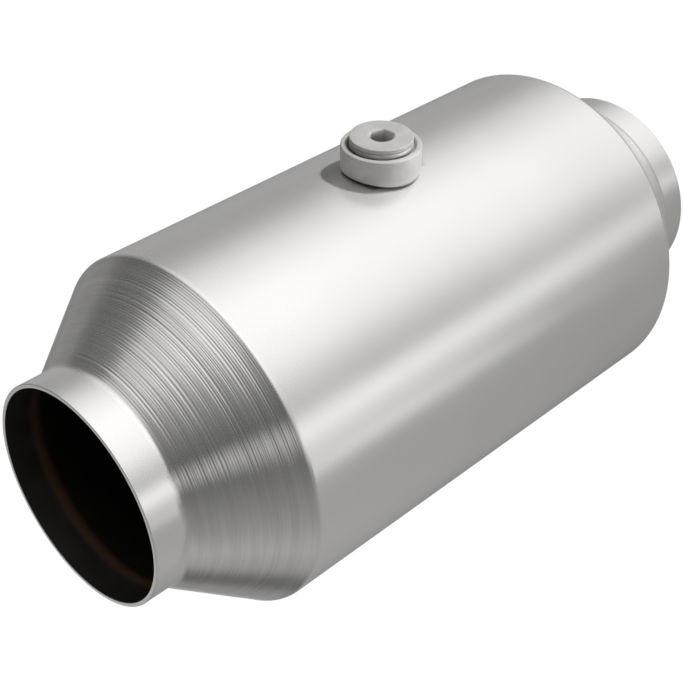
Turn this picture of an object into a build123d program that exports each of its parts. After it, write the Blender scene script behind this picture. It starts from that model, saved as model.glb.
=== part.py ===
from build123d import *
import os
from math import ceil, cos, hypot, pi, sqrt

# Spun catalytic converter with a plugged sensor bung, in millimetres.
# X runs along the exhaust line, from the middle of the inlet mouth towards the outlet.
# Z points up, through the axis of the bung.

# Ceramic bricks
brick_diameter = 118.4
brick_length = 76.2
brick_gap = 24.0
brick_skin = 1.2
cell_opening = 3.9
cell_wall = 2.2

# Mats and wire seals packed round the bricks
mat_thickness = 3.2
packing_clearance = 0.05
seal_inset = 1.0
seal_width = 6.0
seal_to_mat = 0.1
seam_gap = 0.8
tongue_width = 22.0
tongue_reach = 15.0

# Spun shell
shell_wall = 1.5
neck_bore = 76.2
neck_length = 12.5
cone_length = 32.2
brick_setback = 4.8
root_radius = 4.0
shoulder_radius = 2.5
mouth_break = 0.3

# Sensor thread, which the bung and its plug share
thread_diameter = 18.0
thread_pitch = 1.5
minor_per_pitch = 1.0825
thread_clearance = 0.1

# Sensor bung
bung_diameter = 28.0
bung_height = 9.7
bung_offset = -0.8
bung_edge_break = 0.5
weld_gap = 0.8
foot_diameter = 24.0
pilot_diameter = 20.5
pilot_clearance = 0.15
pilot_reach = 1.0
recess_diameter = 24.6
seat_diameter = 22.8
seat_depth = 1.2

# Plug and gasket
flange_diameter = 22.0
flange_thickness = 1.6
flange_edge_break = 0.3
shank_length = 12.5
shank_chamfer = 1.0
socket_width = 8.0
socket_depth = 6.0
socket_mouth = 0.4
socket_tip = 1.6
socket_turn = 30
gasket_diameter = 22.0
gasket_height = 2.5
gasket_edge_break = 0.8
gasket_clearance = 0.15

# Radii of what is packed in the can, from the brick outwards
brick_radius = brick_diameter / 2
mat_inner = brick_radius + packing_clearance
mat_outer = mat_inner + mat_thickness
can_inner = mat_outer + packing_clearance
can_outer = can_inner + shell_wall

# Places along the axis
neck_outer = neck_bore / 2 + shell_wall
can_length = 2 * brick_length + brick_gap + 2 * brick_setback
cone_end = neck_length + cone_length
can_end = cone_end + can_length
outlet_root = can_end + cone_length
overall_length = outlet_root + neck_length
front_brick_start = cone_end + brick_setback
rear_brick_start = front_brick_start + brick_length + brick_gap

# Places along the bung's axis
bung_x = overall_length / 2 + bung_offset
bung_axis = Axis((bung_x, 0, 0), (0, 0, 1))
bung_radius = bung_diameter / 2
foot_radius = foot_diameter / 2
pilot_radius = pilot_diameter / 2
rim_z = can_outer + bung_height
seat_z = rim_z - seat_depth
flange_z = seat_z + gasket_height
plug_top = flange_z + flange_thickness
pilot_end = can_inner - pilot_reach
thread_bore_radius = (thread_diameter - minor_per_pitch * thread_pitch) / 2
shank_radius = thread_bore_radius - thread_clearance

os.makedirs("parts", exist_ok=True)


def keep(piece, name):
    """Label a finished piece and write its file."""
    piece.part.label = name
    export_step(piece.part, f"parts/{name}.step")


def level(z):
    """Horizontal plane at height z, centred on the bung's axis."""
    return Plane((bung_x, 0, z))


# Shell: one tube, spun down at both ends to a cone and a straight neck

with BuildPart() as shell:
    with BuildSketch(Plane.XZ):
        with BuildLine():
            outside = FilletPolyline(
                (0, neck_outer),
                (neck_length, neck_outer),
                (cone_end, can_outer),
                (can_end, can_outer),
                (outlet_root, neck_outer),
                (overall_length, neck_outer),
                radius=(root_radius, shoulder_radius, shoulder_radius, root_radius),
            )
            offset(outside, amount=shell_wall, side=Side.RIGHT)
        make_face()
    revolve(axis=Axis.X)
    mouth_edges = shell.edges().filter_by(GeomType.CIRCLE).group_by(Axis.X)
    chamfer(mouth_edges[0] + mouth_edges[-1], length=mouth_break)
    with BuildSketch(level(0)):
        Circle(pilot_radius + pilot_clearance)
    extrude(amount=rim_z, mode=Mode.SUBTRACT)
keep(shell, "shell")

# Bricks: extruded honeycomb with square channels and a closed skin

cell_pitch = cell_opening + cell_wall
cells_across = 2 * ceil(brick_radius / cell_pitch) + 1
core_radius = brick_radius - brick_skin


def is_whole(spot):
    """Say whether the channel at this spot lies inside the skin with all its corners."""
    y = abs(spot.position.X) + cell_opening / 2
    z = abs(spot.position.Y) + cell_opening / 2
    return hypot(y, z) < core_radius


grid = GridLocations(cell_pitch, cell_pitch, cells_across, cells_across)
channels = [spot for spot in grid if is_whole(spot)]


def honeycomb_brick(start):
    """One brick whose inlet face stands at start on the can's axis."""
    with BuildPart() as brick:
        with BuildSketch(Plane.YZ.offset(start)):
            Circle(brick_radius)
            with Locations(*channels):
                Rectangle(cell_opening, cell_opening, mode=Mode.SUBTRACT)
        extrude(amount=brick_length)
    return brick


keep(honeycomb_brick(front_brick_start), "front_brick")
keep(honeycomb_brick(rear_brick_start), "rear_brick")

# Mats: a strip wrapped round each brick, its ends meeting in a tongue and groove under the can

mat_inset = seal_inset + seal_width + seal_to_mat
mat_width = brick_length - 2 * mat_inset


def wrapped_mat(brick_start):
    """The mat of the brick that starts at brick_start, with its seam cut through the lower wall."""
    start = brick_start + mat_inset
    end = start + mat_width
    tongue_start = (start + end - tongue_width) / 2
    tongue_end = tongue_start + tongue_width
    with BuildPart() as mat:
        with BuildSketch(Plane.YZ.offset(start)):
            Circle(mat_outer)
            Circle(mat_inner, mode=Mode.SUBTRACT)
        extrude(amount=mat_width)
        with BuildSketch(Plane.XY.offset(-can_outer)):
            with BuildLine():
                Polyline(
                    (start - seam_gap, 0),
                    (tongue_start, 0),
                    (tongue_start, tongue_reach),
                    (tongue_end, tongue_reach),
                    (tongue_end, 0),
                    (end + seam_gap, 0),
                )
            trace(line_width=seam_gap)
        extrude(amount=can_outer, mode=Mode.SUBTRACT)
    return mat


keep(wrapped_mat(front_brick_start), "front_mat")
keep(wrapped_mat(rear_brick_start), "rear_mat")

# Wire seals: a knitted ring at each end of each mat


def wire_seal(start):
    """One seal whose inlet side stands at start on the can's axis."""
    with BuildPart() as seal:
        with BuildSketch(Plane.YZ.offset(start)):
            Circle(mat_outer)
            Circle(mat_inner, mode=Mode.SUBTRACT)
        extrude(amount=seal_width)
    return seal


for end_name, brick_start in (("front", front_brick_start), ("rear", rear_brick_start)):
    brick_end = brick_start + brick_length
    keep(wire_seal(brick_start + seal_inset), f"{end_name}_inlet_seal")
    keep(wire_seal(brick_end - seal_inset - seal_width), f"{end_name}_outlet_seal")

# Sensor bung: a turned ring with a saddle-shaped foot, a weld ring and a pilot in the shell's hole

foot_z = sqrt(can_outer**2 - bung_radius**2)

with BuildPart() as sensor_bung:
    with BuildSketch(level(foot_z)):
        Circle(bung_radius)
    extrude(amount=rim_z - foot_z)
    chamfer(sensor_bung.edges().group_by(Axis.Z)[-1], length=bung_edge_break)
    with BuildSketch(Plane.YZ.offset(bung_x)):
        Circle(can_outer + weld_gap)
    extrude(amount=bung_diameter, both=True, mode=Mode.SUBTRACT)
    with BuildSketch(level(foot_z)):
        Circle(foot_radius)
    extrude(amount=seat_z - foot_z)
    with BuildSketch(Plane.YZ.offset(bung_x)):
        Circle(can_outer)
    extrude(amount=bung_diameter, both=True, mode=Mode.SUBTRACT)
    with BuildSketch(level(pilot_end)):
        Circle(pilot_radius)
    extrude(amount=seat_z - pilot_end)
    with BuildSketch(level(pilot_end)):
        Circle(thread_bore_radius)
    extrude(amount=rim_z - pilot_end, mode=Mode.SUBTRACT)
    with BuildSketch(level(seat_z)):
        Circle(seat_diameter / 2)
    with BuildSketch(level(rim_z)):
        Circle(recess_diameter / 2)
    loft(mode=Mode.SUBTRACT)
keep(sensor_bung, "sensor_bung")

# Plug: a flanged screw with a hexagon socket, screwed down on its gasket

socket_floor = plug_top - socket_depth
socket_radius = socket_width / 2
socket_corner_radius = socket_radius / cos(pi / 6)

with BuildPart() as bung_plug:
    with BuildSketch(level(flange_z)):
        Circle(flange_diameter / 2)
    extrude(amount=flange_thickness)
    chamfer(bung_plug.edges().group_by(Axis.Z)[-1], length=flange_edge_break)
    with BuildSketch(level(flange_z - shank_length)):
        Circle(shank_radius)
    extrude(amount=shank_length)
    chamfer(bung_plug.edges().group_by(Axis.Z)[0], length=shank_chamfer)
    with BuildSketch(level(socket_floor)):
        RegularPolygon(socket_radius, side_count=6, major_radius=False, rotation=socket_turn)
    extrude(amount=socket_depth, mode=Mode.SUBTRACT)
    with BuildSketch(level(plug_top - socket_mouth)):
        Circle(socket_radius)
    with BuildSketch(level(plug_top)):
        Circle(socket_corner_radius + socket_mouth / 2)
    loft(mode=Mode.SUBTRACT)
    with BuildSketch(Plane.XZ):
        with BuildLine():
            Polyline(
                (bung_x, socket_floor - socket_tip),
                (bung_x + socket_radius, socket_floor),
                (bung_x, socket_floor),
                close=True,
            )
        make_face()
    revolve(axis=bung_axis, mode=Mode.SUBTRACT)
keep(bung_plug, "bung_plug")

# Gasket: a folded steel ring, its outer side broken at both edges

gasket_bore_radius = thread_diameter / 2 + gasket_clearance
gasket_radius = gasket_diameter / 2

with BuildPart() as plug_gasket:
    with BuildSketch(Plane.XZ) as fold:
        with Locations((bung_x + (gasket_bore_radius + gasket_radius) / 2, seat_z + gasket_height / 2)):
            Rectangle(gasket_radius - gasket_bore_radius, gasket_height)
        chamfer(fold.vertices().group_by(Axis.X)[-1], length=gasket_edge_break)
    revolve(axis=bung_axis)
keep(plug_gasket, "plug_gasket")
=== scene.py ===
import math
import random

import bpy
import numpy as np
from mathutils import Euler, Matrix, Vector


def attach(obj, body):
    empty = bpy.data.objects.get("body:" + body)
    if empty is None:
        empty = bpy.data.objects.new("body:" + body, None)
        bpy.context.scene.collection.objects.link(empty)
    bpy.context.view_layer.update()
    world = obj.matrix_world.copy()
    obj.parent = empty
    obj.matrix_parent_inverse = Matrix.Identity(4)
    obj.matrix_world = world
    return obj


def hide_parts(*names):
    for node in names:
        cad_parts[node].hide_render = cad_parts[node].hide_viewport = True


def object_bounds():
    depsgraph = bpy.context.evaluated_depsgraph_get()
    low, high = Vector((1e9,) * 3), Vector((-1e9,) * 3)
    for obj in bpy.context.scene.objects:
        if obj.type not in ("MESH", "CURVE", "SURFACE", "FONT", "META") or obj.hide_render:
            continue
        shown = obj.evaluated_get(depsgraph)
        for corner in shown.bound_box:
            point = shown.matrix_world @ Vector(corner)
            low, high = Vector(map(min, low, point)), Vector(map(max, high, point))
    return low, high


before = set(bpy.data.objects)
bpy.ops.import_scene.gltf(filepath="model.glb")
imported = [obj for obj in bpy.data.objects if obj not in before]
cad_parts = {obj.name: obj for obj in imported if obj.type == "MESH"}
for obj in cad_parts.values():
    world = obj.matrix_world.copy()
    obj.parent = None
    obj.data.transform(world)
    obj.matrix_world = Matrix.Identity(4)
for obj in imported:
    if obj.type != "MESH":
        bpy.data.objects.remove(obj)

cad_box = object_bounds()

# Camera
# It stands beyond the inlet end, above the can and to one side, and looks down along it.
# The long lens is the photograph's own, and keeps the near end from looking too large.

mm = 0.001


def placed(name, data):
    """A new object in the scene."""
    made = bpy.data.objects.new(name, data)
    bpy.context.scene.collection.objects.link(made)
    return made


look_down = 36.25
heading = 44.63
roll = 0.36

camera = placed("camera", bpy.data.cameras.new("camera"))
camera.location = (-177.0 * mm, -291.5 * mm, 304.0 * mm)
aim = Euler((math.radians(90 - look_down), 0, math.radians(heading - 90))).to_matrix()
camera.rotation_euler = (aim @ Matrix.Rotation(math.radians(roll), 3, "Z")).to_euler()
camera.data.sensor_width = 36.0
camera.data.lens = 74.83
camera.data.clip_start = 0.01
bpy.context.scene.camera = camera
bpy.context.scene.view_settings.view_transform = "Standard"

# Studio
# A grey room with a broad soft box overhead and two narrow strip lights low on the viewer's side.
# A sun throws the bung's shadow, and a small lamp lights the bung from the right.
# The object stands on a white sweep, which reads as plain white paper all round it.


def fill(tree, node, values):
    """Fill a node's inputs with values, or with other nodes' outputs."""
    for socket, value in values.items():
        if isinstance(value, bpy.types.NodeSocket):
            tree.links.new(value, node.inputs[socket])
        else:
            node.inputs[socket].default_value = value


def add(tree, kind, inputs=None, **settings):
    """Add a shader node, set its options and fill its inputs."""
    node = tree.nodes.new("ShaderNode" + kind)
    for option, value in settings.items():
        setattr(node, option, value)
    fill(tree, node, inputs or {})
    return node


def math_node(tree, operation, *values, clamp=False):
    """Output of a Math node on values or on other nodes' outputs."""
    node = add(tree, "Math", dict(enumerate(values)), operation=operation, use_clamp=clamp)
    return node.outputs[0]


def product(tree, first, *others):
    """Values or other nodes' outputs, multiplied together."""
    for other in others:
        first = math_node(tree, "MULTIPLY", first, other)
    return first


def scaled(tree, value, factor, offset):
    """A value times a factor, plus an offset."""
    return math_node(tree, "MULTIPLY_ADD", value, factor, offset)


def ramp(tree, value, stops, interpolation="EASE"):
    """Output of a grey ramp whose stops are (place from 0 to 1, grey)."""
    node = add(tree, "ValToRGB", {0: value})
    node.color_ramp.interpolation = interpolation
    first, last = node.color_ramp.elements
    first.position, last.position = stops[0][0], stops[-1][0]
    first.color = (stops[0][1],) * 3 + (1,)
    last.color = (stops[-1][1],) * 3 + (1,)
    for place, grey in stops[1:-1]:
        node.color_ramp.elements.new(place).color = (grey,) * 3 + (1,)
    return node.outputs["Color"]


def lit_along(tree, value, place, *stops):
    """Light that changes evenly between stops (reading, light). Place puts a reading on the ramp."""
    return ramp(tree, value, [(place(reading), light) for reading, light in stops], "LINEAR")


def round_x(angle):
    """Place on a ramp of an angle round X in degrees, from straight up towards the viewer."""
    return angle / 360 + 0.5


def along_axis(share):
    """Place on a ramp of a direction's share along an axis, from -1 to 1."""
    return share / 2 + 0.5


slope_span = 8


def by_slope(slope):
    """Place on a ramp of how far a direction leans along X for each step up, within the span."""
    return 0.5 + slope / slope_span


paper_white = (1, 1, 1, 1)
lamp_white = (1.0, 0.995, 0.985, 1)

world = bpy.data.worlds.new("studio")
bpy.context.scene.world = world
world.use_nodes = True
tree = world.node_tree
tree.nodes.clear()
way = add(tree, "SeparateXYZ", {0: add(tree, "TexCoord").outputs["Generated"]}).outputs
toward_viewer = math_node(tree, "MULTIPLY", way["Y"], -1.0)
angle = math_node(tree, "ARCTAN2", toward_viewer, way["Z"])
turn = scaled(tree, angle, 0.5 / math.pi, 0.5)
share = scaled(tree, way["X"], 0.5, 0.5)
height = scaled(tree, way["Z"], 0.5, 0.5)
rise = math_node(tree, "MAXIMUM", way["Z"], 0.02)
slope = math_node(tree, "DIVIDE", way["X"], rise)
lean = math_node(tree, "MULTIPLY_ADD", slope, 1 / slope_span, 0.5, clamp=True)

# The soft box: how it falls off round X, towards the outlet, and at its inlet end.
# That end slants on the far side, past the corner's angle.
overhead = lit_along(
    tree, turn, round_x,
    (-72, 0.0), (-64, 0.0), (-56, 0.09), (-50, 0.21), (-42, 0.39), (-34, 0.56),
    (-25, 0.7), (-16, 0.82), (-8, 0.92), (4, 0.95), (18, 0.93), (27, 0.88),
    (36, 0.85), (42, 0.72), (52, 0.46), (60, 0.27), (68, 0.18), (76, 0.0),
)
overhead_reach = lit_along(
    tree, lean, by_slope,
    (0.0, 1.0), (0.3, 1.07), (0.55, 1.07), (0.7, 1.0), (1.1, 0.78), (2.5, 0.78), (3.2, 0.62), (3.95, 0.15),
)
past_corner = math_node(tree, "MAXIMUM", math_node(tree, "SUBTRACT", round_x(-38), turn), 0.0)
overhead_end = lit_along(
    tree, scaled(tree, past_corner, -1.3, lean), by_slope,
    (-1.7, 0.1), (-1.25, 0.16), (-1.05, 0.27), (-0.95, 0.42), (-0.8, 0.86), (-0.7, 0.93),
    (-0.62, 1.12), (-0.55, 1.17), (-0.4, 1.35), (-0.05, 1.35), (0.2, 1.0),
)
soft_box = product(tree, overhead, overhead_reach, overhead_end)

# The upper strip light, which turns up a little at its outlet end.
far_end = math_node(tree, "MAXIMUM", math_node(tree, "SUBTRACT", share, along_axis(0.735)), 0.0)
strip = lit_along(
    tree, scaled(tree, far_end, 0.65, turn), round_x,
    (67, 0.0), (75, 0.92), (81, 1.12), (89, 0.43), (94, 0.06), (96, 0.0),
)
strip_reach = lit_along(
    tree, share, along_axis,
    (-0.8, 0.0), (-0.73, 0.12), (-0.64, 0.5), (-0.56, 0.3), (-0.3, 0.6),
    (0.3, 1.0), (0.57, 1.0), (0.7, 0.74), (0.78, 0.6), (0.9, 0.0),
)

# The lower strip light, thinner and shorter.
echo = lit_along(
    tree, turn, round_x,
    (88, 0.0), (92, 0.43), (97, 0.42), (102, 0.92), (105, 0.75), (108.5, 0.0),
)
echo_reach = lit_along(
    tree, share, along_axis,
    (0.3, 0.0), (0.44, 0.6), (0.52, 1.06), (0.635, 1.15), (0.668, 0.0),
)

# The room: a dim far wall, a grey glow at the outlet end, and the white sweep's light from below.
far_wall = lit_along(tree, turn, round_x, (-122, 0.0), (-106, 0.1), (-90, 0.1), (-74, 0.0))
room = lit_along(tree, share, along_axis, (-0.4, 0.0), (0.1, 0.04), (0.5, 0.08), (0.75, 0.1))
from_below = lit_along(
    tree, height, along_axis,
    (-1.0, 0.15), (-0.993, 0.21), (-0.98, 0.3), (-0.96, 0.38), (-0.92, 0.42), (-0.86, 0.45), (-0.78, 0.42),
    (-0.68, 0.36), (-0.55, 0.31), (-0.36, 0.24), (-0.25, 0.18), (-0.12, 0.12), (0.0, 0.09), (0.2, 0.0),
)
far_side = lit_along(
    tree, turn, round_x,
    (-180, 0.98), (-167, 0.77), (-155, 0.72), (-144, 1.4), (-130, 1.4), (-119, 0.79), (-90, 1.0),
)
below_reach = lit_along(
    tree, share, along_axis,
    (-0.6, 1.0), (-0.48, 1.0), (-0.35, 1.13), (-0.2, 1.08), (0.45, 1.0), (0.75, 0.92),
)
sweep_light = product(tree, from_below, far_side, below_reach)

lamps = scaled(tree, echo, echo_reach, scaled(tree, strip, strip_reach, soft_box))
walls = math_node(tree, "ADD", far_wall, math_node(tree, "MAXIMUM", room, sweep_light))
light = math_node(tree, "ADD", lamps, walls)
studio = add(tree, "Background", {"Color": lamp_white, "Strength": light})
paper = add(tree, "Background", {"Color": paper_white, "Strength": 1.0})
seen = add(tree, "LightPath").outputs["Is Camera Ray"]
sky = add(tree, "MixShader", {0: seen, 1: studio.outputs[0], 2: paper.outputs[0]})
add(tree, "OutputWorld", {"Surface": sky.outputs[0]})

to_sun = Vector((0.532, -0.211, 0.82))
sun = placed("key light", bpy.data.lights.new("key light", "SUN"))
sun.rotation_euler = to_sun.to_track_quat("Z", "Y").to_euler()
sun.data.energy = 9.0
sun.data.angle = math.radians(4)
sun.visible_glossy = False

bung_middle = Vector((137.0 * mm, 0.0, 69.0 * mm))
to_lamp = Vector((0.48, -0.87, 0.12)).normalized()
lamp_distance = 400.0
lamp = placed("bung light", bpy.data.lights.new("bung light", "SPOT"))
lamp.location = bung_middle + to_lamp * lamp_distance * mm
lamp.rotation_euler = to_lamp.to_track_quat("Z", "Y").to_euler()
lamp.data.energy = 3.7
lamp.data.shadow_soft_size = 25.0 * mm
lamp.data.spot_size = math.radians(7.5)
lamp.data.spot_blend = 0.6

floor_reach = 3.0
floor_z = cad_box[0][2]
floor_mesh = bpy.data.meshes.new("floor")
floor_sides = ((-1, -1), (1, -1), (1, 1), (-1, 1))
floor_corners = [(x * floor_reach, y * floor_reach, floor_z) for x, y in floor_sides]
floor_mesh.from_pydata(floor_corners, [], [(0, 1, 2, 3)])
floor = placed("floor", floor_mesh)
floor_white = bpy.data.materials.new("white sweep")
floor_white.use_nodes = True
tree = floor_white.node_tree
tree.nodes.clear()
white = add(tree, "Emission", {"Color": paper_white, "Strength": 1.0})
clear = add(tree, "BsdfTransparent")
under = add(tree, "NewGeometry").outputs["Backfacing"]
one_sided = add(tree, "MixShader", {0: under, 1: white.outputs[0], 2: clear.outputs[0]})
add(tree, "OutputMaterial", {"Surface": one_sided.outputs[0]})
floor.data.materials.append(floor_white)
floor.visible_glossy = False
floor.visible_diffuse = False
floor.visible_shadow = False

# Shell
# One stainless tube, spun and pressed in by a roller at both ends to a cone and a short straight neck.
# The roller leaves turned lines round each cone. The inside is painted near black as painted shade, with a
# reddish painted highlight round each root.

can_radius = 64.0
neck_radius = 39.6
shell_wall = 1.5
neck_length = 12.5
cone_length = 32.2
can_length = 186.0
root_radius = 4.0
shoulder_radius = 2.5
mouth_edge = 0.3
hole_radius = 10.4
bung_offset = -0.8

# Turned lines, the shallow dish that the roller leaves below the shoulder, and the edge at a mouth where the
# inside's painted shade starts
line_pitch = 0.95
line_depth = 0.045
dish_depth = 0.065
dish_bottom = 2.3
dish_reach = 9.0
feather = 4.0
painted_shade_edge = 0.12

shoulder = neck_length + cone_length
shell_length = 2 * shoulder + can_length
bung_x = shell_length / 2 + bung_offset
neck_bore_radius = neck_radius - shell_wall
can_bore_radius = can_radius - shell_wall
mid_wall = neck_radius - shell_wall / 2
cone_angle = math.atan2(can_radius - neck_radius, cone_length)
inner_shift = shell_wall * math.tan(cone_angle / 2)


def soften(corners, step=12):
    """Points of an outline whose corners (first, second, radius) become arcs, a point each step degrees."""
    points = []
    for i, (first, second, radius) in enumerate(corners):
        here = Vector((first, second))
        if radius == 0:
            points.append(here)
            continue
        back = (Vector(corners[i - 1][:2]) - here).normalized()
        ahead = (Vector(corners[(i + 1) % len(corners)][:2]) - here).normalized()
        half = back.angle(ahead) / 2
        middle = here + (back + ahead).normalized() * radius / math.sin(half)
        start = here + back * radius / math.tan(half) - middle
        turn = math.pi - 2 * half
        if back.cross(ahead) > 0:
            turn = -turn
        steps = max(2, round(abs(math.degrees(turn)) / step))
        for k in range(steps + 1):
            points.append(middle + Matrix.Rotation(turn * k / steps, 2) @ start)
    return points


def revolved(name, rings, segments, place, material_of=None):
    """A closed ring-shaped piece: each ring of the outline goes round where place(ring, angle) puts it."""
    count = len(rings)
    angles = [2 * math.pi * j / segments for j in range(segments)]
    points = [place(ring, angle) for ring in rings for angle in angles]
    faces = []
    for i in range(count):
        this, following = i * segments, ((i + 1) % count) * segments
        for j in range(segments):
            beside = (j + 1) % segments
            faces.append((this + j, this + beside, following + beside, following + j))
    mesh = bpy.data.meshes.new(name)
    mesh.from_pydata(points, [], faces)
    mesh.polygons.foreach_set("use_smooth", [True] * len(faces))
    if material_of:
        indices = [material_of(ring) for ring in rings for _ in range(segments)]
        mesh.polygons.foreach_set("material_index", indices)
    mesh.update()
    return placed(name, mesh)


def other_end(corners):
    """The same corners at the outlet end, in the order that goes on round the outline."""
    return [(shell_length - x, r, radius) for x, r, radius in reversed(corners)]


# The outline is cut into outside and inside in the middle of the wall, at both mouths.
half_outside = [
    (0, neck_radius, mouth_edge),
    (neck_length, neck_radius, root_radius),
    (shoulder, can_radius, shoulder_radius),
]
half_inside = [
    (shoulder + inner_shift, can_bore_radius, shoulder_radius - shell_wall),
    (neck_length + inner_shift, neck_bore_radius, root_radius + shell_wall),
    (0, neck_bore_radius, mouth_edge),
]
inlet_mouth = (0, mid_wall, 0)
outlet_mouth = (shell_length, mid_wall, 0)
outside = soften([inlet_mouth] + half_outside + other_end(half_outside) + [outlet_mouth], step=5)
inside = soften([outlet_mouth] + other_end(half_inside) + half_inside + [inlet_mouth])[1:-1]


class Ring:
    """One ring of the shell: its place, the way it faces, its turned line and its finish."""

    def __init__(self, x, r, facing=(0, 0), cut=0.0, line=0, turned=0.0, dark=0):
        self.x, self.r, self.facing, self.cut = x, r, facing, cut
        self.line, self.turned, self.dark = line, turned, dark


chance = random.Random(7)
line_swell = []


def next_line():
    """Number of another turned line, which has its own slow swelling round the cone."""
    waves = []
    for _ in range(3):
        waves.append((chance.randint(1, 3), chance.uniform(0, 2 * math.pi), chance.uniform(0.1, 0.3)))
    line_swell.append(waves)
    return len(line_swell) - 1


def swell(line, angle):
    """How deep a turned line is at an angle, as a share of its full depth."""
    return 1 + sum(size * math.sin(times * angle + start) for times, start, size in line_swell[line])


# Rings stand this close to a sharp change, this far apart between, and only along stretches of this length.
hold = 0.5
plain_step = 9.0
shortest_slope = 5.0
shortest_outside = 3.0
shortest_inside = 6.0

# One turned line across its pitch: (share of the pitch, share of the depth)
line_shape = ((0.04, 0.0), (0.3, 0.8), (0.55, 1.0), (0.8, 0.75))


def turned_share(x):
    """How far the roller's finish has set in at a place on a neck or at a root, from 0 to 1."""
    from_neck = min(x, shell_length - x) - neck_length
    if from_neck >= cone_length / 2:
        return 0.0
    return min(max(0.5 + from_neck / feather, 0.0), 1.0)


def lined_rings(here, span, facing):
    """Rings of the turned lines along one cone, and of the dish below its shoulder."""
    length = span.length
    climbs = span.y > 0
    lines = []
    covered = 0.0
    while covered < length:
        pitch = line_pitch * chance.uniform(0.45, 1.5)
        lines.append((pitch, line_depth * chance.uniform(0.25, 1.0) * (pitch / line_pitch) ** 0.5))
        covered += pitch
    lines.pop()
    if not climbs:
        lines.reverse()
    at = length - sum(pitch for pitch, depth in lines) if climbs else 0.0
    found = []
    for pitch, depth in lines:
        line = next_line()
        for part, share_cut in line_shape:
            along = at + part * pitch
            below_shoulder = length - along if climbs else along
            dished = float(np.interp(below_shoulder, (0, dish_bottom, dish_reach), (0, dish_depth, 0)))
            spot = here + span * (along / length) - Vector(facing) * dished
            found.append(Ring(spot.x, spot.y, facing, depth * share_cut, line, 1.0))
        at += pitch
    return found


def plain_rings(here, span, facing):
    """Rings along a straight stretch, with one close to each end to keep its shading flat."""
    length = span.length
    between = np.linspace(hold, length - hold, max(2, int(length / plain_step)))[1:-1]
    points = [here + span * (spot / length) for spot in [hold, *between, length - hold]]
    return [Ring(point.x, point.y, facing) for point in points]


# Line 0 belongs to the rings that have no turned line.
next_line()
rings = []
for here, ahead in zip(outside, outside[1:] + inside[:1]):
    span = ahead - here
    facing = (-span.y / span.length, span.x / span.length)
    rings.append(Ring(here.x, here.y, facing, turned=turned_share(here.x)))
    if min(abs(span.x), abs(span.y)) > shortest_slope:
        rings += lined_rings(here, span, facing)
    elif span.length > shortest_outside:
        rings += plain_rings(here, span, facing)
# Rings inside the shell take the painted-shade material, all but the thin edge at each mouth.
for here, ahead in zip(inside, inside[1:] + outside[:1]):
    span = ahead - here
    rings.append(Ring(here.x, here.y, dark=int(painted_shade_edge < here.x < shell_length - painted_shade_edge)))
    if span.length > shortest_inside:
        for spot in (hold, span.length / 2, span.length - hold):
            point = here + span * (spot / span.length)
            rings.append(Ring(point.x, point.y, dark=1))


def on_shell(ring, angle):
    """Point of the shell at an angle from the top towards the viewer's side."""
    cut = ring.cut * swell(ring.line, angle) if ring.cut else 0.0
    x = ring.x - ring.facing[0] * cut
    r = ring.r - ring.facing[1] * cut
    return x * mm, -r * math.sin(angle) * mm, r * math.cos(angle) * mm


shell_segments = 200
shell = revolved("spun_shell", rings, shell_segments, on_shell, lambda ring: ring.dark)
turned = shell.data.attributes.new("turned", "FLOAT", "POINT")
turned.data.foreach_set("value", [ring.turned for ring in rings for _ in range(shell_segments)])

# The bung's hole is cut by a plain round bar.
hole_facets = 96
bar_bottom = 40.0
bar_top = 90.0


def bar_point(k, z):
    """Corner k of the bar at a height."""
    a = 2 * math.pi * k / hole_facets
    return (bung_x + hole_radius * math.cos(a)) * mm, hole_radius * math.sin(a) * mm, z * mm


bar_points = [bar_point(k, z) for z in (bar_bottom, bar_top) for k in range(hole_facets)]
bar_faces = [tuple(range(hole_facets - 1, -1, -1)), tuple(range(hole_facets, 2 * hole_facets))]
for k in range(hole_facets):
    beside = (k + 1) % hole_facets
    bar_faces.append((k, beside, hole_facets + beside, hole_facets + k))
bar_mesh = bpy.data.meshes.new("hole")
bar_mesh.from_pydata(bar_points, [], bar_faces)
bar = placed("hole", bar_mesh)


def finished(piece):
    """Apply a piece's modifiers to its mesh."""
    view = bpy.context.evaluated_depsgraph_get()
    shown = piece.evaluated_get(view)
    mesh = bpy.data.meshes.new_from_object(shown, preserve_all_data_layers=True, depsgraph=view)
    piece.modifiers.clear()
    piece.data = mesh
    return piece


def node_group(name, inputs, outputs):
    """A new node group, what it is given and its end node.

    An input is (name, kind, value), and an output is (name, kind).
    """
    group = bpy.data.node_groups.new(name, "ShaderNodeTree")
    for title, kind, value in inputs:
        socket = group.interface.new_socket(title, in_out="INPUT", socket_type="NodeSocket" + kind)
        socket.default_value = value
    for title, kind in outputs:
        group.interface.new_socket(title, in_out="OUTPUT", socket_type="NodeSocket" + kind)
    return group, group.nodes.new("NodeGroupInput").outputs, group.nodes.new("NodeGroupOutput")


def use(tree, group, **values):
    """Outputs of a node group placed in a material. Its inputs' names have underscores for spaces here."""
    node = add(tree, "Group", node_tree=group)
    fill(tree, node, {title.replace("_", " "): value for title, value in values.items()})
    return node.outputs


def material(name):
    """A new node material, with its tree and its Principled shader."""
    made = bpy.data.materials.new(name)
    made.use_nodes = True
    return made, made.node_tree, made.node_tree.nodes["Principled BSDF"]


def vector(tree, operation, first, second):
    """Vector output of a Vector Math node."""
    return add(tree, "VectorMath", {0: first, 1: second}, operation=operation).outputs[0]


def noise(tree, place, scale, **inputs):
    """Value of a noise texture."""
    return add(tree, "TexNoise", {"Vector": place, "Scale": scale, **inputs}).outputs["Fac"]


def mix(tree, factor, first, second):
    """Colour that goes from the first to the second as the factor goes from 0 to 1."""
    node = add(tree, "Mix", {"Factor": factor, "A": first, "B": second}, data_type="RGBA")
    return node.outputs["Result"]


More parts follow.
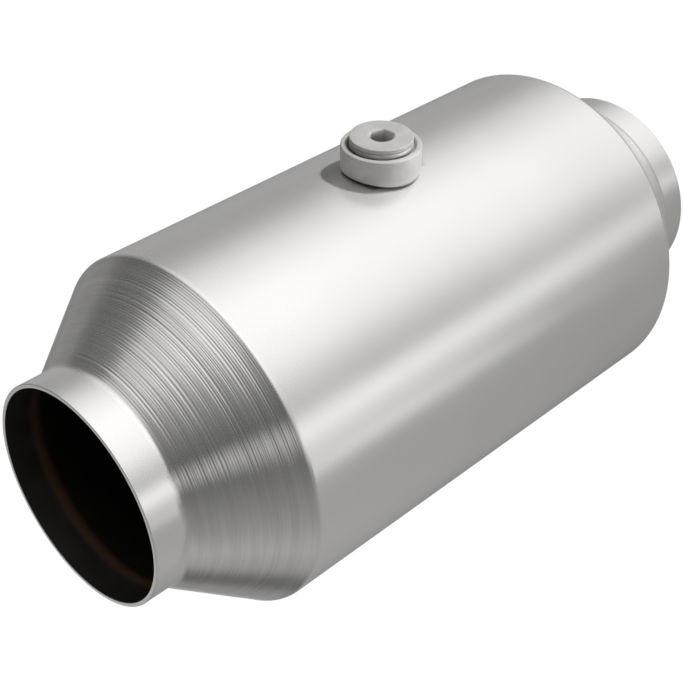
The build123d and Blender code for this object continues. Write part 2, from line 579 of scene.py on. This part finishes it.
def fade(tree, value, start, end, low=0.0, high=1.0, kind="SMOOTHSTEP"):
    """Mask that goes from low to high as a value goes from start to end."""
    limits = {"From Min": start, "From Max": end, "To Min": low, "To Max": high}
    return add(tree, "MapRange", {"Value": value, **limits}, interpolation_type=kind).outputs[0]


def bump(tree, height, depth, strength=1.0, **inputs):
    """Normal of a relief whose depth is in millimetres."""
    values = {"Strength": strength, "Distance": depth * mm, "Height": height, **inputs}
    return add(tree, "Bump", values).outputs[0]


# Fine lines cross the first coordinate, in millimetres, and break up slowly along the other two.
fine_lines, given, result = node_group(
    "Fine lines",
    [("Place", "Vector", (0, 0, 0)), ("Lines per mm", "Float", 1.0), ("Breaks", "Float", 1.0)],
    [("Height", "Float"), ("Shade", "Float")],
)
across = add(fine_lines, "CombineXYZ", {0: given["Lines per mm"], 1: given["Breaks"], 2: given["Breaks"]})
spread = vector(fine_lines, "MULTIPLY", given["Place"], across.outputs[0])
narrow = noise(fine_lines, spread, 1.0, Detail=1.5, Roughness=0.55)
broad = noise(fine_lines, spread, 0.31, Detail=1.0, Roughness=0.5)
both_widths = scaled(fine_lines, broad, 0.5, product(fine_lines, narrow, 0.5))
shade = ramp(fine_lines, both_widths, [(0.35, 0.0), (0.65, 1.0)])
fill(fine_lines, result, {"Height": narrow, "Shade": shade})

# Clouds are the soft uneven patches of a handled or heated surface, their size in millimetres.
clouds, given, result = node_group(
    "Clouds", [("Place", "Vector", (0, 0, 0)), ("Size", "Float", 20.0)], [("Value", "Float")]
)
scale = math_node(clouds, "DIVIDE", 1.0, given["Size"])
patch = noise(clouds, given["Place"], scale, Detail=4.0, Roughness=0.55)
fill(clouds, result, {"Value": ramp(clouds, patch, [(0.32, 0.0), (0.68, 1.0)])})

# Place is in millimetres. Turned place has the direction from X instead, for lines round the can.
round_the_can, given, result = node_group(
    "Round the can", [("Place", "Vector", (0, 0, 0))], [("Place", "Vector"), ("Turned place", "Vector")]
)
in_mm = add(round_the_can, "VectorMath", {0: given["Place"], "Scale": 1000.0}, operation="SCALE").outputs[0]
sideways = vector(round_the_can, "MULTIPLY", in_mm, (0, 1, 1))
direction = add(round_the_can, "VectorMath", {0: sideways}, operation="NORMALIZE").outputs[0]
forwards = vector(round_the_can, "MULTIPLY", in_mm, (1, 0, 0))
turned_place = vector(round_the_can, "ADD", forwards, direction)
fill(round_the_can, result, {"Place": in_mm, "Turned place": turned_place})


def place_in(tree):
    """Outputs Place and Turned place of a point on the object."""
    return use(tree, round_the_can, Place=add(tree, "TexCoord").outputs["Object"])


sheet_grey = (0.735, 0.73, 0.72, 1)
sheet_bright = (0.755, 0.75, 0.74, 1)
groove_shade_grey = (0.42, 0.415, 0.405, 1)

steel, tree, shader = material("satin stainless")
spot = place_in(tree)
patches = use(tree, clouds, Place=spot["Place"], Size=38.0)["Value"]
turned_lines = use(tree, fine_lines, Place=spot["Turned place"], Lines_per_mm=1.6, Breaks=2.2)
sheet_grain = use(tree, fine_lines, Place=spot["Turned place"], Lines_per_mm=1.4, Breaks=5.0)

# The roller's finish ends in a ragged edge at each cone's root and shoulder.
worked = add(tree, "Attribute", attribute_name="turned").outputs["Fac"]
ragged = noise(tree, vector(tree, "MULTIPLY", spot["Turned place"], (0.9, 26.0, 26.0)), 1.0, Detail=2.0)
ragged_edge = scaled(tree, ragged, 0.9, math_node(tree, "SUBTRACT", worked, 0.45))
turned_field = ramp(tree, ragged_edge, [(0.3, 0.0), (0.7, 1.0)])

# Painted shade: the turned lines are coloured darker grey along their grooves.
line_shade = product(tree, turned_lines["Shade"], turned_field)
groove_shade = product(tree, math_node(tree, "SUBTRACT", turned_field, line_shade), 0.2)
sheet_colour = mix(tree, groove_shade, mix(tree, patches, sheet_grey, sheet_bright), groove_shade_grey)
sheet_roughness = scaled(tree, turned_field, -0.13, scaled(tree, patches, 0.03, 0.225))
line_relief = bump(tree, product(tree, turned_lines["Height"], turned_field), 0.022)
sheet_relief = bump(tree, sheet_grain["Height"], 0.0035, strength=0.5, Normal=line_relief)
fill(tree, shader, {"Base Color": sheet_colour, "Metallic": 0.85})
fill(tree, shader, {"Roughness": sheet_roughness, "Normal": sheet_relief})

# Painted shade: the whole inside of the shell is coloured near black, in dark brown patches.
shade_black = (0.012, 0.011, 0.009, 1)
shade_brown = (0.02, 0.0185, 0.016, 1)
root_highlight_brown = (0.085, 0.04, 0.02, 1)
root_highlight_offset = 0.2

shaded_inside, tree, shader = material("painted shade inside")
spot = place_in(tree)
inside_lines = use(tree, fine_lines, Place=spot["Turned place"], Lines_per_mm=1.2, Breaks=2.0)
inside_patches = use(tree, clouds, Place=spot["Place"], Size=12.0)["Value"]

# A reddish-brown painted highlight runs round both roots inside, where the tube bends.
along = add(tree, "SeparateXYZ", {0: spot["Place"]}).outputs["X"]
from_middle = math_node(tree, "ABSOLUTE", math_node(tree, "SUBTRACT", along, shell_length / 2))
root_from_middle = shell_length / 2 - neck_length + root_highlight_offset
from_root = math_node(tree, "ABSOLUTE", math_node(tree, "SUBTRACT", from_middle, root_from_middle))
root_highlight = product(tree, fade(tree, from_root, 0.5, 3.8, low=1.0, high=0.0), 0.8)

inside_shade_colour = mix(tree, root_highlight, mix(tree, inside_patches, shade_black, shade_brown), root_highlight_brown)
fill(tree, shader, {"Base Color": inside_shade_colour, "Specular IOR Level": 0.25})
fill(tree, shader, {"Roughness": scaled(tree, inside_patches, 0.15, 0.55)})
fill(tree, shader, {"Normal": bump(tree, inside_lines["Height"], 0.02, strength=0.6)})

for part in (steel, shaded_inside):
    shell.data.materials.append(part)
    bar.data.materials.append(part)
hole = shell.modifiers.new("bung hole", "BOOLEAN")
hole.operation = "DIFFERENCE"
hole.solver = "EXACT"
hole.object = bar
finished(shell)
bpy.data.objects.remove(bar)
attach(shell, "root")
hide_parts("shell")

# Bricks
# Two extruded ceramic honeycombs, 400 cells to the square inch, dipped in a tan catalyst coat.
# Each stands in its mat, with a gap between them under the bung.

brick_radius = 59.2
brick_length = 76.2
brick_gap = 24.0
brick_setback = 4.8
cell_pitch = 1.27
cell_wall = 0.165
brick_skin = 0.9
coat_tan = (0.5, 0.425, 0.315, 1)
coat_pale = (0.6, 0.53, 0.415, 1)

front_start = shoulder + brick_setback
rear_start = front_start + brick_length + brick_gap

ceramic, tree, shader = material("coated ceramic")
place = place_in(tree)["Place"]
coat_patches = use(tree, clouds, Place=place, Size=9.0)["Value"]
grit = noise(tree, place, 9.0, Detail=3.0, Roughness=0.7)
fill(tree, shader, {"Base Color": mix(tree, coat_patches, coat_tan, coat_pale), "Specular IOR Level": 0.3})
fill(tree, shader, {"Roughness": scaled(tree, grit, 0.15, 0.8)})
fill(tree, shader, {"Normal": bump(tree, grit, 0.03, strength=0.7)})


def honeycomb(name, start):
    """One brick: a grid of square channels cut right through, its rim drawn in to a circle."""
    reach = math.ceil(brick_radius / cell_pitch)
    half_cell = (cell_pitch - cell_wall) / 2
    corners = {}
    points = []
    faces = []

    def corner(i, j):
        """Number of the grid's corner (i, j), moved in to the brick's side where it would stand outside."""
        if (i, j) not in corners:
            y, z = (i - 0.5) * cell_pitch, (j - 0.5) * cell_pitch
            out = max(math.hypot(y, z) / brick_radius, 1)
            corners[i, j] = len(points)
            points.append((start * mm, y / out * mm, z / out * mm))
        return corners[i, j]

    for i in range(-reach, reach + 1):
        for j in range(-reach, reach + 1):
            y, z = i * cell_pitch, j * cell_pitch
            around = [(i, j), (i + 1, j), (i + 1, j + 1), (i, j + 1)]
            if all(math.hypot(a - 0.5, b - 0.5) * cell_pitch > brick_radius for a, b in around):
                continue
            outer = [corner(a, b) for a, b in around]
            if math.hypot(abs(y) + half_cell, abs(z) + half_cell) > brick_radius - brick_skin:
                faces.append(tuple(outer))
                continue
            inner = []
            for side_y, side_z in ((-1, -1), (1, -1), (1, 1), (-1, 1)):
                inner.append(len(points))
                points.append((start * mm, (y + side_y * half_cell) * mm, (z + side_z * half_cell) * mm))
            for k in range(4):
                faces.append((outer[k], outer[(k + 1) % 4], inner[(k + 1) % 4], inner[k]))
    mesh = bpy.data.meshes.new(name)
    mesh.from_pydata(points, [], [tuple(reversed(face)) for face in faces])
    mesh.materials.append(ceramic)
    brick = placed(name, mesh)
    depth = brick.modifiers.new("channels", "SOLIDIFY")
    depth.thickness = brick_length * mm
    depth.offset = -1
    return finished(brick)


for node, start in (("front_brick", front_start), ("rear_brick", rear_start)):
    brick = honeycomb(node.replace("brick", "honeycomb"), start)
    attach(brick, "root")
    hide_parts(node)

# Mats
# Grey-white strips of swelling fibre, squeezed between each brick and the can to hold it.
# Only their cut edges can be seen, past the wire seals.

fibre_grey = (0.62, 0.59, 0.52, 1)
fibre_white = (0.82, 0.8, 0.74, 1)
flake_brown = (0.45, 0.36, 0.24, 1)


def dress(node, look):
    """Put a material in every slot of a node that keeps its CAD mesh."""
    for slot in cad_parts[node].material_slots:
        slot.material = look


fibre, tree, shader = material("fibre mat")
place = place_in(tree)["Place"]
strands = noise(tree, place, 1.4, Detail=6.0, Roughness=0.75, Distortion=1.5)
flakes = add(tree, "TexVoronoi", {"Vector": place, "Scale": 0.7, "Randomness": 1.0}).outputs["Distance"]
off_flakes = ramp(tree, flakes, [(0.1, 0.0), (0.22, 1.0)])
speckled = mix(tree, off_flakes, flake_brown, mix(tree, strands, fibre_grey, fibre_white))
fill(tree, shader, {"Base Color": speckled, "Specular IOR Level": 0.2})
fill(tree, shader, {"Roughness": scaled(tree, strands, 0.1, 0.85), "Normal": bump(tree, strands, 0.2)})
dress("front_mat", fibre)
dress("rear_mat", fibre)

# Wire seals
# Rings knitted from fine stainless wire and pressed flat, one at each end of each mat.
# They keep the hot gas off the mat's edges.

# Painted shade: the gaps between the knitted loops are coloured dark.
wire_gap_shade = (0.12, 0.115, 0.11, 1)
wire_bright = (0.55, 0.54, 0.52, 1)

knit, tree, shader = material("knitted wire")
place = place_in(tree)["Turned place"]
stitch = add(tree, "Mapping", {"Vector": place, "Scale": (1.1, 70.0, 70.0)}).outputs[0]
loop_shape = {"Vector": stitch, "Scale": 1.0, "Distortion": 4.0, "Detail": 1.0, "Detail Scale": 1.5}
loops = add(tree, "TexWave", loop_shape, wave_type="RINGS").outputs["Fac"]
fill(tree, shader, {"Base Color": mix(tree, loops, wire_gap_shade, wire_bright), "Metallic": 1.0})
fill(tree, shader, {"Roughness": scaled(tree, loops, -0.2, 0.55), "Normal": bump(tree, loops, 0.15)})
for seal in ("front_inlet_seal", "front_outlet_seal", "rear_inlet_seal", "rear_outlet_seal"):
    dress(seal, knit)

# Sensor bung
# A turned steel ring for an oxygen sensor, its foot saddled to the can and welded from below.
# The blasted grey surface is the bar stock's own, with a seat recessed in the top.

bung_radius = 14.0
bung_height = 9.7
foot_radius = 12.0
pilot_radius = 10.25
pilot_reach = 1.0
pilot_edge = 0.3
weld_gap = 0.8
recess_radius = 12.3
seat_radius = 11.4
seat_depth = 1.2
rim_edge = 0.7
recess_edge = 0.25
seat_edge = 0.2
lead_in_width = 0.2
lead_in_depth = 0.9
thread_radius = 9.05
thread_pitch = 1.5
thread_depth = 0.8
bung_segments = 144

rim_z = can_radius + bung_height
seat_z = rim_z - seat_depth
pilot_end = can_bore_radius - pilot_reach

# The rounded lower edge of the outer foot, from its face to its side: (inset, lift)
foot_edge = ((1.1, 0.0), (0.65, 0.1), (0.28, 0.35), (0.07, 0.72), (0.0, 1.15), (0.0, 1.6))


def saddle(r, angle, gap):
    """Height of a gap above the can's skin, at a radius from the bung's axis."""
    return math.sqrt((can_radius + gap) ** 2 - (r * math.sin(angle)) ** 2)


def on_saddle(r, gap, lift=0.0):
    """A ring at a radius that follows the can's skin at a gap."""
    return r, lambda angle: saddle(r, angle, gap) + lift


def thread(z, angle, start, end):
    """Depth from 0 to 1 of a right-hand thread at a height and angle, fading out at both ends."""
    phase = (z / thread_pitch - angle / (2 * math.pi)) % 1.0
    flank = abs(2 * phase - 1)
    ends = min(1.0, max(0.0, (z - start) / thread_pitch), max(0.0, (end - z) / thread_pitch))
    return min(1.0, max(0.0, 1.25 * flank - 0.125)) * ends


def threaded(radius, depth, start, end):
    """Rings of a thread from one height to another, cut outwards where depth is above 0."""
    low, high = min(start, end), max(start, end)
    heights = np.linspace(start, end, int(abs(end - start) / thread_pitch * 8) + 1)
    return [(lambda angle, z=z: radius + depth * thread(z, angle, low, high), z) for z in heights]


def on_bung(ring, angle):
    """Point of a piece turned about the bung's axis. A ring's radius and height are numbers or functions."""
    r, z = (value(angle) if callable(value) else value for value in ring)
    return (bung_x + r * math.cos(angle)) * mm, r * math.sin(angle) * mm, z * mm


bung_top = soften(
    [
        (bung_radius, rim_z - 3, 0),
        (bung_radius, rim_z, rim_edge),
        (recess_radius, rim_z, recess_edge),
        (seat_radius, seat_z, seat_edge),
        (thread_radius + lead_in_width, seat_z, 0.1),
        (thread_radius - thread_depth, seat_z - lead_in_depth, 0),
    ],
    step=15,
)
pilot_rings = [
    (thread_radius - pilot_edge, pilot_end),
    (pilot_radius - pilot_edge, pilot_end),
    (pilot_radius, pilot_end + pilot_edge),
    on_saddle(pilot_radius, 0.0),
]
foot_rings = [on_saddle(foot_radius, 0.0), on_saddle(foot_radius, weld_gap)]
foot_rings += [on_saddle(bung_radius - inset, weld_gap, lift) for inset, lift in foot_edge]
bung_rings = (
    pilot_rings
    + foot_rings
    + [(point.x, point.y) for point in bung_top]
    + threaded(thread_radius - thread_depth, thread_depth, seat_z - 1.0, pilot_end + 0.4)
)
bung = revolved("sensor_bung_turned", bung_rings, bung_segments, on_bung)

# Scuffs are small dull marks and specks, from handling and from the blast.
scuffs, given, result = node_group(
    "Scuffs",
    [("Place", "Vector", (0, 0, 0)), ("Size", "Float", 2.0), ("Cover", "Float", 0.3)],
    [("Mask", "Float")],
)
scale = math_node(scuffs, "DIVIDE", 1.0, given["Size"])
marks = noise(scuffs, given["Place"], scale, Detail=7.0, Roughness=0.72, Distortion=0.6)
mark_edge = scaled(scuffs, given["Cover"], -0.35, 0.68)
mask = fade(scuffs, marks, mark_edge, math_node(scuffs, "ADD", mark_edge, 0.12))
fill(scuffs, result, {"Mask": mask})


def with_painted_shade(tree, place, clean, radius, top, depth, side, tint):
    """Colour with painted shade on one side of what lies near the bung's axis, from a height down."""
    from_axis = vector(tree, "SUBTRACT", place, (bung_x, 0, 0))
    flat = vector(tree, "MULTIPLY", from_axis, (1, 1, 0))
    away = add(tree, "VectorMath", {0: flat}, operation="LENGTH").outputs["Value"]
    near = math_node(tree, "LESS_THAN", away, radius)
    up = add(tree, "SeparateXYZ", {0: place}).outputs["Z"]
    deep = fade(tree, up, top, top - depth, kind="LINEAR")
    outward = add(tree, "VectorMath", {0: flat}, operation="NORMALIZE").outputs[0]
    toward = add(tree, "VectorMath", {0: outward, 1: side}, operation="DOT_PRODUCT").outputs["Value"]
    # Only the part facing along side takes the full painted shade.
    shaded_side = fade(tree, toward, -0.25, 0.35, low=0.2)
    return mix(tree, product(tree, near, deep, shaded_side), clean, tint)


def matt_steel(name, bright, dull, roughness, grain, painted_shade=None):
    """Blasted or dull turned steel: fine grain, uneven patches, small marks and any painted shade."""
    made, tree, shader = material(name)
    place = place_in(tree)["Place"]
    patches = use(tree, clouds, Place=place, Size=7.0)["Value"]
    marks = use(tree, scuffs, Place=place, Size=3.0, Cover=0.35)["Mask"]
    speck = noise(tree, place, 5.0, Detail=4.0, Roughness=0.7)
    colour = mix(tree, product(tree, marks, 0.5), mix(tree, patches, dull, bright), dull)
    # Painted shade, where given, darkens one side of a recess.
    if painted_shade:
        colour = with_painted_shade(tree, place, colour, **painted_shade)
    fill(tree, shader, {"Base Color": colour, "Metallic": 0.9})
    fill(tree, shader, {"Roughness": scaled(tree, speck, 0.15, roughness)})
    fill(tree, shader, {"Normal": bump(tree, speck, grain, strength=0.8)})
    return made


blasted = {"bright": (0.73, 0.72, 0.705, 1), "dull": (0.65, 0.64, 0.625, 1)}
# Painted shade in the seat's recess, on the inlet side, from just below the rim down.
seat_shade = {
    "radius": recess_radius + 0.1,
    "top": rim_z - 0.1,
    "depth": 0.9,
    "side": (-1, 0, 0),
    "tint": (0.16, 0.15, 0.14, 1),
}
bung_steel = matt_steel("blasted steel", **blasted, roughness=0.66, grain=0.05, painted_shade=seat_shade)
bung.data.materials.append(bung_steel)
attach(bung, "root")
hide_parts("sensor_bung")

# Plug
# A flanged steel screw with an 8 mm hexagon socket, which closes the bung until a sensor goes in.
# The socket is punched over a drilled hole, and the screw has the sensor's M18 thread.

gasket_height = 2.5
flange_radius = 11.0
flange_thickness = 1.6
flange_top_edge = 0.35
flange_low_edge = 0.2
shank_length = 12.5
shank_chamfer = 0.9
thread_relief = 1.4
core_radius = 8.09
socket_half_width = 4.0
socket_depth = 6.0
socket_mouth = 0.4
socket_corner = 0.05
drill_tip = 1.6

flange_z = seat_z + gasket_height
plug_top = flange_z + flange_thickness
shank_end = flange_z - shank_length
socket_floor = plug_top - socket_depth
chamfer_radius = socket_half_width / math.cos(math.pi / 6) + socket_mouth / 2


def hexagon(angle):
    """Distance from the socket's axis to its side at an angle, with two corners across the can."""
    from_middle = (angle - math.pi / 6) % (math.pi / 3) - math.pi / 6
    return socket_half_width / math.cos(from_middle)


def socket_top(angle):
    """Height at which a side of the socket meets the socket's chamfer."""
    climb = (hexagon(angle) - socket_half_width) / (chamfer_radius - socket_half_width)
    return plug_top - socket_mouth + socket_mouth * climb


plug_side = soften(
    [
        (flange_radius - 2.5, plug_top, 0),
        (flange_radius, plug_top, flange_top_edge),
        (flange_radius, flange_z, flange_low_edge),
        (core_radius + 0.4, flange_z, 0.3),
        (core_radius, flange_z - 0.6, 0),
    ],
    step=15,
)
socket_rings = [
    (0.0, socket_floor - drill_tip),
    (socket_half_width - 0.4, socket_floor - 0.16),
    (socket_half_width - socket_corner, socket_floor),
    (lambda angle: hexagon(angle) - socket_corner, socket_floor),
    (hexagon, socket_floor + 2 * socket_corner),
    (hexagon, (socket_floor + plug_top) / 2),
    (hexagon, socket_top),
    (chamfer_radius, plug_top),
    (chamfer_radius + 0.3, plug_top),
]
plug_rings = (
    socket_rings
    + [(point.x, point.y) for point in plug_side]
    + threaded(core_radius, thread_depth, flange_z - thread_relief, shank_end + shank_chamfer)
    + [(core_radius - thread_depth, shank_end), (0.0, shank_end)]
)
plug = revolved("bung_plug_turned", plug_rings, bung_segments, on_bung)

plated = {"bright": (0.7, 0.69, 0.675, 1), "dull": (0.63, 0.62, 0.605, 1)}
# Painted shade, brownish, down inside the hexagon socket on its far side.
socket_shade = {
    "radius": chamfer_radius,
    "top": plug_top - 0.25,
    "depth": 4.0,
    "side": (-0.2, 0.98, 0),
    "tint": (0.4, 0.35, 0.315, 1),
}
plug_steel = matt_steel("dull plated steel", **plated, roughness=0.66, grain=0.04, painted_shade=socket_shade)
plug.data.materials.append(plug_steel)
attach(plug, "root")
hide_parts("bung_plug")

# Gasket
# A ring of thin steel folded on itself, which crushes between the plug and the seat and seals them.
# Its rolled outer side shows as a second band under the plug's flange.

gasket_bore = 9.15
gasket_radius = 11.0
gasket_roll = 1.0
gasket_inner_edge = 0.3
folded = {"bright": (0.66, 0.65, 0.63, 1), "dull": (0.56, 0.55, 0.53, 1)}

gasket_outline = [
    (gasket_bore, seat_z, gasket_inner_edge),
    (gasket_radius, seat_z, gasket_roll),
    (gasket_radius, flange_z, gasket_roll),
    (gasket_bore, flange_z, gasket_inner_edge),
]
gasket_rings = [(point.x, point.y) for point in soften(gasket_outline, step=15)]
gasket = revolved("plug_gasket_folded", gasket_rings, bung_segments, on_bung)
gasket_steel = matt_steel("folded steel", **folded, roughness=0.58, grain=0.02)
gasket.data.materials.append(gasket_steel)
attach(gasket, "root")
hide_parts("plug_gasket")
